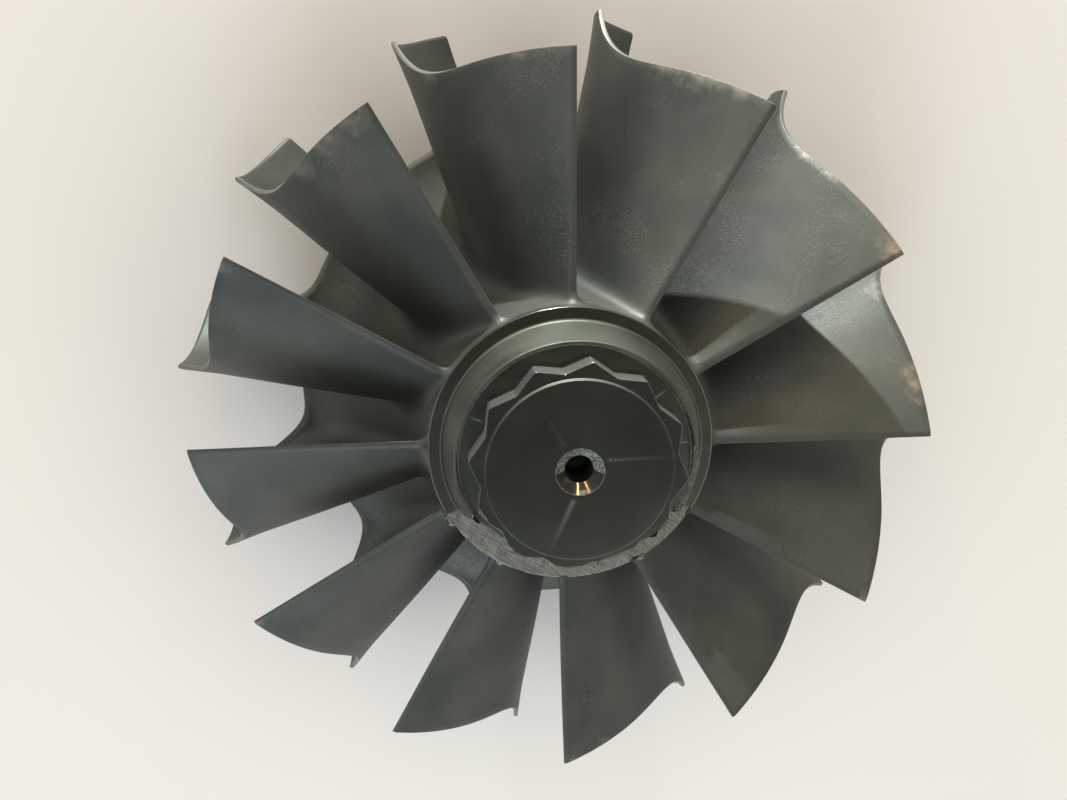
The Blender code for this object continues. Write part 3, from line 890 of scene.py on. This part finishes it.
def ground_alloy(name, dark, light):
    material, tree = new_material(name)
    place = add(tree, "ShaderNodeTexCoord")["Object"]
    along, across = 1 / (SCRATCH_LENGTH * MM), 1 / (SCRATCH_WIDTH * MM)
    scratches = []
    for direction in SCRATCH_DIRECTIONS:
        turn = add(tree, "ShaderNodeMapping", {
            "Vector": place, "Rotation": (0, 0, math.radians(-direction))})[0]
        scaled = add(tree, "ShaderNodeVectorMath", {
            0: turn, 1: (along, across, along)}, operation="MULTIPLY")[0]
        lines = add(tree, "ShaderNodeTexNoise", {"Vector": scaled, "Scale": 1.0, "Detail": 1.0})
        scratches.append(lines["Fac"])
    first, second, third = scratches
    two = add(tree, "ShaderNodeMath", {0: first, 1: second}, operation="MAXIMUM")[0]
    depth = add(tree, "ShaderNodeMath", {0: two, 1: third}, operation="ADD")[0]
    colour = blended(tree, depth, 0.88, 1.24, dark, light)
    finish_material(tree, colour, GROUND_ROUGHNESS, depth, 0.9, SCRATCH_DEPTH)
    return material


# Metal with pits about 0.3 mm across, rough and mottled light and dark. On the wall round the dish
# its light mottling is a painted highlight, and in the upper half of the countersink a painted reflection.
PIT_SIZE = 0.3
PIT_DEPTH = 0.05
PITTED_ROUGHNESS = 0.6


def pitted_alloy(name, dark, light):
    material, tree = new_material(name)
    place = add(tree, "ShaderNodeTexCoord")["Object"]
    pits = add(tree, "ShaderNodeTexNoise", {
        "Vector": place, "Scale": 1.0 / (PIT_SIZE * MM), "Detail": 3.0, "Roughness": 0.6})["Fac"]
    colour = blended(tree, pits, 0.38, 0.62, dark, light)
    finish_material(tree, colour, PITTED_ROUGHNESS, pits, 0.6, PIT_DEPTH)
    return material


# Three light radial streaks in the dish: direction, start, end, how far off the axis, half width, strength
DISH_LIGHT_STREAKS = (
    (156.2, 14.4, 16.6, 0.0, 0.2, 0.8),
    (38.4, 14.1, 16.5, 0.0, 0.2, 0.8),
    (8.0, 15.1, 17.0, 0.0, 0.2, 0.95),
)

# The cone was turned dull, the dish finer, and the shoulder so fine that it gleams
turned = turned_alloy("nickel_alloy_turned", srgb("4e524a"), srgb("5d6158"), 0.55, 0.012)
dished = turned_alloy("nickel_alloy_dished", srgb("4d524a"), srgb("585d54"), 0.36, 0.004, DISH_LIGHT_STREAKS)
shoulder = turned_alloy("nickel_alloy_shoulder", srgb("64685e"), srgb("73776d"), 0.225, 0.002)
ground = ground_alloy("nickel_alloy_ground", srgb("5a5c55"), srgb("8f9086"))
pitted_painted_highlight = pitted_alloy("nickel_alloy_pitted_painted_highlight", srgb("62645c"), srgb("aeb0a5"))
collar_finishes = [turned, shoulder, ground, dished, pitted_painted_highlight]

# What keeps each finish to its own faces: margins in millimetres, and how far up a face looks
GROUND_LOWEST = 55.0
TOUCHED_END = 6.5
PAINTED_HIGHLIGHT_RADII = (16.6, 17.03)
PAINTED_HIGHLIGHT_TOP_Z = 62.38
GLEAM_RADIUS = 20.85
GLEAM_LOWEST = 55.7
ANY_SLOPE = 0.05
EDGE_SLOPE = 0.1
TOUCHED_SLOPE = 0.3
LEVEL = 0.97


def collar_finish(out, height, degrees, upward):
    """The finish of one face of the collar, by where it lies and how far it looks up."""
    if GROUND_ANGLES[0] < degrees < GROUND_ANGLES[-1]:
        if out > WALL_REACH and height > GROUND_LOWEST and upward > ANY_SLOPE:
            return ground
    touched = TOUCHED_ANGLES[0] < degrees < TOUCHED_END
    if touched and height > TOUCHED_LOWEST and out > TOUCHED_RADIUS and upward > TOUCHED_SLOPE:
        return ground
    # Painted highlight: the wall round the dish takes a light mottled finish
    if PAINTED_HIGHLIGHT_RADII[0] < out < PAINTED_HIGHLIGHT_RADII[1] and height < PAINTED_HIGHLIGHT_TOP_Z:
        return pitted_painted_highlight
    if out < DISH_RADIUS:
        return dished
    if out > GLEAM_RADIUS and height > GLEAM_LOWEST and upward > EDGE_SLOPE:
        return shoulder
    if out > CONE_FOOT_RADIUS and upward > LEVEL:
        return shoulder
    return turned


collar_degrees = np.linspace(-180.0, 180.0, COLLAR_STEPS, endpoint=False)
collar_columns = np.array([collar_line(degrees) for degrees in collar_degrees])
collar_mesh = columns_mesh("collar_rim", np.radians(collar_degrees), collar_columns)
for face in collar_mesh.polygons:
    x, y, z = face.center
    out, degrees = math.hypot(x, y) / MM, math.degrees(math.atan2(y, x))
    finish = collar_finish(out, z / MM, degrees, face.normal.z)
    face.material_index = collar_finishes.index(finish)
grind(collar_mesh, BALANCE_FLATS, collar_finishes.index(ground))
collar = put_in_scene("collar_rim", collar_mesh, collar_finishes, 35.0)
sharpen_between_slots(collar_mesh)
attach(collar, "root")
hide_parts("nose_collar")

# Burrs rolled over the shoulder's edge by the grinding: direction, length and reach of each
BURRS = (
    (-150.4, 0.8, 0.7),
    (-147.3, 1.8, 1.0),
    (-120.5, 1.6, 0.8),
    (-59.0, 1.6, 1.1),
)
BURR_ROOT_RADIUS = 20.9
BURR_ROOT_Z = 55.6
BURR_THICKNESS = 0.14
BURR_THINNING = 0.6
BURR_LEAST_REACH = 0.1
BURR_ENDS = 2.2
BURR_CURL = 0.45
BURR_DROOP = 1.7
BURR_WAVE = 0.1
BURR_WAVES = 5.0
BURR_ALONG = 9
BURR_OUT = 5


def burr_points(direction, length, reach):
    """A thin curled flake in two layers of points, with its root sunk in the shoulder."""
    points = []
    for layer in (0.5, -0.5):
        for along in np.linspace(-1.0, 1.0, BURR_ALONG):
            angle = math.radians(direction) + along * length / 2 / BURR_ROOT_RADIUS
            width = BURR_LEAST_REACH + reach * (1.0 - abs(along) ** BURR_ENDS)
            for out in np.linspace(0.0, 1.0, BURR_OUT):
                radius = BURR_ROOT_RADIUS + width * out
                curl = BURR_CURL * width * (out - BURR_DROOP * out**2)
                wave = BURR_WAVE * out * math.sin(BURR_WAVES * along)
                thick = layer * BURR_THICKNESS * (1.0 - BURR_THINNING * out)
                height = BURR_ROOT_Z + curl + wave + thick
                points.append((radius * math.cos(angle), radius * math.sin(angle), height))
    return points


def burr_faces(first):
    """Faces of one flake: its top, its underside and the thin edge all round."""
    layer = BURR_ALONG * BURR_OUT
    top = [[first + BURR_OUT * i + j for j in range(BURR_OUT)] for i in range(BURR_ALONG)]
    faces = [
        (top[i][j], top[i][j + 1], top[i + 1][j + 1], top[i + 1][j])
        for i in range(BURR_ALONG - 1) for j in range(BURR_OUT - 1)]
    faces += [tuple(layer + k for k in reversed(face)) for face in faces]
    edge = top[0] + [row[-1] for row in top[1:]] + top[-1][-2::-1] + [row[0] for row in top[-2:0:-1]]
    faces += [(b, a, a + layer, b + layer) for a, b in zip(edge, edge[1:] + edge[:1])]
    return faces


flakes = [burr_points(*burr) for burr in BURRS]
flake_faces = [face for k in range(len(BURRS)) for face in burr_faces(k * len(flakes[0]))]
burr_mesh = new_mesh("ground_burrs", np.concatenate(flakes), flake_faces)
burrs = put_in_scene("ground_burrs", burr_mesh, [ground], 60.0)
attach(burrs, "root")

# Twelve-point drive head
# The head that a socket turns the wheel by while it is machined and balanced. Its twelve
# corners are milled, a round face is turned on top of them, and a centre hole is drilled in it.

HEAD_ACROSS_FLATS = 26.8
HEAD_CORNER_TURN = math.radians(24.0)
HEAD_CORNER_SOFTNESS = math.radians(0.7)
HEAD_TOP_Z = 65.9
HEAD_EDGE_ROUND = 0.09
HEAD_FACE_Z = 66.4
HEAD_FACE_RADIUS = 13.0
HEAD_FACE_ROUND = 0.05
HEAD_FACE_FOOT_RADIUS = 13.16
HEAD_FACE_FILLET = 0.1
HEAD_FOOT_FILLET = 0.05
HEAD_FOOT_Z = DISH_FLOOR_Z - 0.02
HEAD_SKIRT = 0.45
HEAD_SKIRT_Z = DISH_FLOOR_Z - 0.06
HEAD_SINK = 0.4
HOLE_MOUTH_RADIUS = 3.4
HOLE_MOUTH_ROUND = 0.1
HOLE_PILOT_RADIUS = 2.0
HOLE_PILOT_ROUND = 0.08
HOLE_END_Z = 58.8
HOLE_END_ROUND = 0.2
HOLE_POINT = 1.2
PLUG_CLEARANCE = 0.1
PAINTED_REFLECTION_FROM = -0.1

# Angles either side of a corner, in degrees, at which the outline is drawn
CORNER_STEPS = (0, 0.35, 0.7, 1.1, 1.6, 2.4, 4, 6.5, 9.5, 12, 13.3, 13.9, 14.3, 14.65)


def star_radius(offset):
    """Outline of two crossed hexagons, at an angle from the nearest corner."""
    from_corner = np.hypot(offset, HEAD_CORNER_SOFTNESS)
    from_valley = np.hypot(PITCH / 2 - from_corner, HEAD_CORNER_SOFTNESS)
    return HEAD_ACROSS_FLATS / 2 / np.cos(PITCH / 2 + from_valley)


def head_line(outer):
    """The line from the bottom of the centre hole over the face and down the wall, at one angle."""
    mouth_z = HEAD_FACE_Z - (HOLE_MOUTH_RADIUS - HOLE_PILOT_RADIUS)
    return rounded_line((
        (0.0, HOLE_END_Z - HOLE_POINT, 0.0),
        (HOLE_PILOT_RADIUS, HOLE_END_Z, HOLE_END_ROUND),
        (HOLE_PILOT_RADIUS, mouth_z, HOLE_PILOT_ROUND),
        (HOLE_MOUTH_RADIUS, HEAD_FACE_Z, HOLE_MOUTH_ROUND),
        (HEAD_FACE_RADIUS, HEAD_FACE_Z, HEAD_FACE_ROUND),
        (HEAD_FACE_FOOT_RADIUS, HEAD_TOP_Z, HEAD_FACE_FILLET),
        (outer, HEAD_TOP_Z, HEAD_EDGE_ROUND),
        (outer, HEAD_FOOT_Z, HEAD_FOOT_FILLET),
        (outer + HEAD_SKIRT, HEAD_SKIRT_Z, 0.0),
        (outer + HEAD_SKIRT, DISH_FLOOR_Z - HEAD_SINK, 0.0),
        (HEAD_SOCKET_RADIUS - PLUG_CLEARANCE, DISH_FLOOR_Z - HEAD_SINK, 0.0),
        (HEAD_SOCKET_RADIUS - PLUG_CLEARANCE, HEAD_SOCKET_Z + PLUG_CLEARANCE, 0.0),
        (0.0, HEAD_SOCKET_Z + PLUG_CLEARANCE, 0.0),
    ))


# Painted highlights on the round face, radial streaks where its turned grooves would catch the lamps:
# direction, start, end, how far off the axis, half width, strength
FACE_PAINTED_HIGHLIGHTS = (
    (-113.3, 3.7, 12.5, 0.84, 0.6, 0.3),
    (1.5, 3.4, 14.0, 1.6, 0.4, 0.22),
    (120.0, 4.0, 10.5, 0.0, 0.4, 0.12),
)

# The face was turned so fine that it mirrors the room, and carries painted highlights. The countersink
# is brighter, its upper half a painted reflection, the hole in it rough, and the milled wall is satin.
face_with_painted_highlights = turned_alloy("nickel_alloy_face_painted_highlights", srgb("676b62"), srgb("757a70"), 0.175, 0.0012, FACE_PAINTED_HIGHLIGHTS)
polished = turned_alloy("nickel_alloy_countersunk", srgb("8a8b82"), srgb("a2a39a"), 0.16, 0.01)
countersink_painted_reflection = pitted_alloy("nickel_alloy_countersink_painted_reflection", srgb("45473f"), srgb("c4c7bb"))
drilled = turned_alloy("nickel_alloy_drilled", srgb("55564f"), srgb("64655e"), 0.5, 0.03)
milled = turned_alloy("nickel_alloy_milled", srgb("7e807a"), srgb("92948d"), 0.45, 0.02)
head_finishes = [face_with_painted_highlights, polished, drilled, milled, ground, countersink_painted_reflection, turned]

# What keeps each finish to its own faces: radii in millimetres, and how far up a face looks
DRILLED_WITHIN = 2.03
COUNTERSUNK_WITHIN = 3.42
FACE_EDGE_RADII = (12.8, 13.26)
FACE_EDGE_SLOPES = (0.1, 0.98)
WALL_SLOPE = 0.5


def head_finish(out, northward, upward):
    """The finish of one face of the head, by where it lies and how far it looks up."""
    if out < DRILLED_WITHIN:
        return drilled
    if out < COUNTERSUNK_WITHIN:
        # Painted reflection: the countersink's upper half takes a lighter mottled finish
        return countersink_painted_reflection if northward > PAINTED_REFLECTION_FROM * out else polished
    on_edge = FACE_EDGE_RADII[0] < out < FACE_EDGE_RADII[1]
    if on_edge and FACE_EDGE_SLOPES[0] < upward < FACE_EDGE_SLOPES[1]:
        return turned
    if out > HEAD_FACE_RADIUS and abs(upward) < WALL_SLOPE:
        return milled
    return face_with_painted_highlights


steps = np.radians(CORNER_STEPS)
offsets = np.concatenate((-steps[:0:-1], steps, [PITCH / 2]))
head_angle = np.concatenate([HEAD_CORNER_TURN + k * PITCH + offsets for k in range(BLADE_COUNT)])
head_columns = np.array([head_line(outer) for outer in star_radius(offsets)])
head_columns = np.tile(head_columns, (BLADE_COUNT, 1, 1))
head_mesh = columns_mesh("drive_head", head_angle, head_columns)
for face in head_mesh.polygons:
    x, y, _ = face.center
    finish = head_finish(math.hypot(x, y) / MM, y / MM, face.normal.z)
    face.material_index = head_finishes.index(finish)
grind(head_mesh, BALANCE_FLATS, head_finishes.index(ground))
head = put_in_scene("drive_head", head_mesh, head_finishes, 30.0)
sharpen_between_slots(head_mesh)
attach(head, "root")
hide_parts("drive_head_12_point")

# Weld boss
# The round boss behind the disc, turned square for the shaft that is welded to it, with a
# chamfer at its edge and a fillet where it leaves the back of the disc.

BOSS_RADIUS = 17.5
BOSS_FILLET = 1.5
BOSS_CHAMFER = 0.9
BOSS_EDGE_ROUND = 0.15
BOSS_ROOT_RADIUS = 19.7
BOSS_ROOT_Z = 7.4
LATHE_STEPS = 360

# The boss from its root, sunk in the disc, down to its face: radius, height and rounding
BOSS_PROFILE = (
    (0.0, BOSS_ROOT_Z, 0.0),
    (BOSS_ROOT_RADIUS, BOSS_ROOT_Z, 0.0),
    (19.4, 7.12, 0.0),
    (BOSS_RADIUS, 6.98, BOSS_FILLET),
    (BOSS_RADIUS, BOSS_CHAMFER, BOSS_EDGE_ROUND),
    (BOSS_RADIUS - BOSS_CHAMFER, 0.0, BOSS_EDGE_ROUND),
    (0.0, 0.0, 0.0),
)
boss_angle = np.linspace(0.0, 2 * math.pi, LATHE_STEPS, endpoint=False)
boss_columns = np.tile(rounded_line(BOSS_PROFILE), (LATHE_STEPS, 1, 1))
boss_mesh = columns_mesh("boss_turned", boss_angle, boss_columns)
boss = put_in_scene("boss_turned", boss_mesh, [turned], 35.0)
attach(boss, "root")
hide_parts("weld_boss")

# Floor, lights and camera
# A plain pale floor under the boss, soft light from above, and small lamps: one low to one
# side, a cool one opposite, two warm ones for the gleam in the hole, and one on the nose alone.

FLOOR_SIZE = 3.0
floor_corners = np.array(((-1, -1, 0), (1, -1, 0), (1, 1, 0), (-1, 1, 0))) * FLOOR_SIZE / 2 / MM
floor_mesh = new_mesh("floor", floor_corners, [(0, 1, 2, 3)])
floor_material, floor_tree = new_material("pale_floor")
floor_shader = add(floor_tree, "ShaderNodeBsdfPrincipled", {"Base Color": srgb("f2f0ea"), "Roughness": 0.8})
add(floor_tree, "ShaderNodeOutputMaterial", {"Surface": floor_shader[0]})
floor = put_in_scene("floor", floor_mesh, [floor_material], 30.0)

# Soft room light: dim straight above, bright in a wide ring below that, warmer on one side
ZENITH_DIM = 0.08
RING_BRIGHT = 1.8
HORIZON_BRIGHT = 0.1
RING_FROM, RING_TO = 0.4, 0.62
ZENITH_FROM, ZENITH_TO = 0.78, 0.9
WARM_SIDE = (0.45, 0.9, 0.0)
world = bpy.data.worlds.new("studio")
world.use_nodes = True
sky = world.node_tree
sky.nodes.clear()
aim = add(sky, "ShaderNodeTexCoord")["Generated"]
rise = add(sky, "ShaderNodeSeparateXYZ", {0: aim})["Z"]
low_part = add(sky, "ShaderNodeMapRange", {
    "Value": rise, 1: RING_FROM, 2: RING_TO, 3: HORIZON_BRIGHT, 4: RING_BRIGHT,
}, interpolation_type="SMOOTHSTEP")[0]
top_part = add(sky, "ShaderNodeMapRange", {
    "Value": rise, 1: ZENITH_FROM, 2: ZENITH_TO, 3: 1.0, 4: ZENITH_DIM,
}, interpolation_type="SMOOTHSTEP")[0]
bright = add(sky, "ShaderNodeMath", {0: low_part, 1: top_part}, operation="MULTIPLY")[0]
side = add(sky, "ShaderNodeVectorMath", {0: aim, 1: WARM_SIDE}, operation="DOT_PRODUCT")["Value"]
warmth = add(sky, "ShaderNodeMapRange", {"Value": side, 1: -0.7, 2: 0.7})[0]
tint = add(sky, "ShaderNodeMix", {
    "Factor": warmth, "A": srgb("f3f5f4"), "B": srgb("fff6e8")}, data_type="RGBA")["Result"]
background = add(sky, "ShaderNodeBackground", {"Color": tint, "Strength": bright})
add(sky, "ShaderNodeOutputWorld", {"Surface": background[0]})
bpy.context.scene.world = world

# Each lamp: direction and rise in degrees, distance, width, power and colour
LAMPS = {
    "low_lamp": (96.2, 0.0, 2.5, 0.06, 80.0, "ffffff"),
    "cool_side_lamp": (257.0, 30.0, 0.8, 0.3, 1.7, "d8e7ff"),
    "warm_lamp_left": (115.0, 20.0, 1.0, 0.06, 0.5, "ffc880"),
    "warm_lamp_right": (76.0, 20.0, 1.0, 0.06, 0.5, "ffc880"),
}
LAMP_AIM = Vector((0.0, 0.0, 0.045))


def place_lamp(name, data, azimuth, rise, distance, target):
    a, e = math.radians(azimuth), math.radians(rise)
    way = Vector((math.cos(a) * math.cos(e), math.sin(a) * math.cos(e), math.sin(e)))
    lamp = bpy.data.objects.new(name, data)
    lamp.location = target + distance * way
    lamp.rotation_euler = (target - lamp.location).to_track_quat("-Z", "Y").to_euler()
    bpy.context.scene.collection.objects.link(lamp)


for name, (azimuth, rise, distance, width, power, colour) in LAMPS.items():
    data = bpy.data.lights.new(name, "AREA")
    data.shape = "DISK"
    data.size = width
    data.energy = power
    data.color = srgb(colour)[:3]
    place_lamp(name, data, azimuth, rise, distance, LAMP_AIM)

# A narrow lamp on the nose alone, just over the blades' tips
NOSE_LAMP_POWER = 110.0
NOSE_LAMP_RADIUS = 0.02
NOSE_LAMP_SPREAD = math.radians(4.0)
NOSE_LAMP_SOFT_EDGE = 0.2
NOSE_LAMP_AIM = Vector((0.0, 0.0, 0.084))
nose_light = bpy.data.lights.new("nose_lamp", "SPOT")
nose_light.energy = NOSE_LAMP_POWER
nose_light.shadow_soft_size = NOSE_LAMP_RADIUS
nose_light.spot_size = NOSE_LAMP_SPREAD
nose_light.spot_blend = NOSE_LAMP_SOFT_EDGE
place_lamp("nose_lamp", nose_light, 94.0, 4.0, 0.9, NOSE_LAMP_AIM)

# The camera looks down on the nose from close by, at the photograph's angle
CAMERA_PLACE = (-0.015893, 0.044658, 0.187026)
CAMERA_TURN = (-15.8154, -4.4117, 0.1837)
CAMERA_LENS = 31.824
CAMERA_SENSOR = 36.0
CAMERA_NEAREST = 0.005
camera_data = bpy.data.cameras.new("camera")
camera_data.lens = CAMERA_LENS
camera_data.sensor_width = CAMERA_SENSOR
camera_data.clip_start = CAMERA_NEAREST
camera = bpy.data.objects.new("camera", camera_data)
camera.location = CAMERA_PLACE
camera.rotation_euler = Euler([math.radians(a) for a in CAMERA_TURN])
bpy.context.scene.collection.objects.link(camera)
bpy.context.scene.camera = camera
bpy.context.scene.view_settings.view_transform = "Standard"
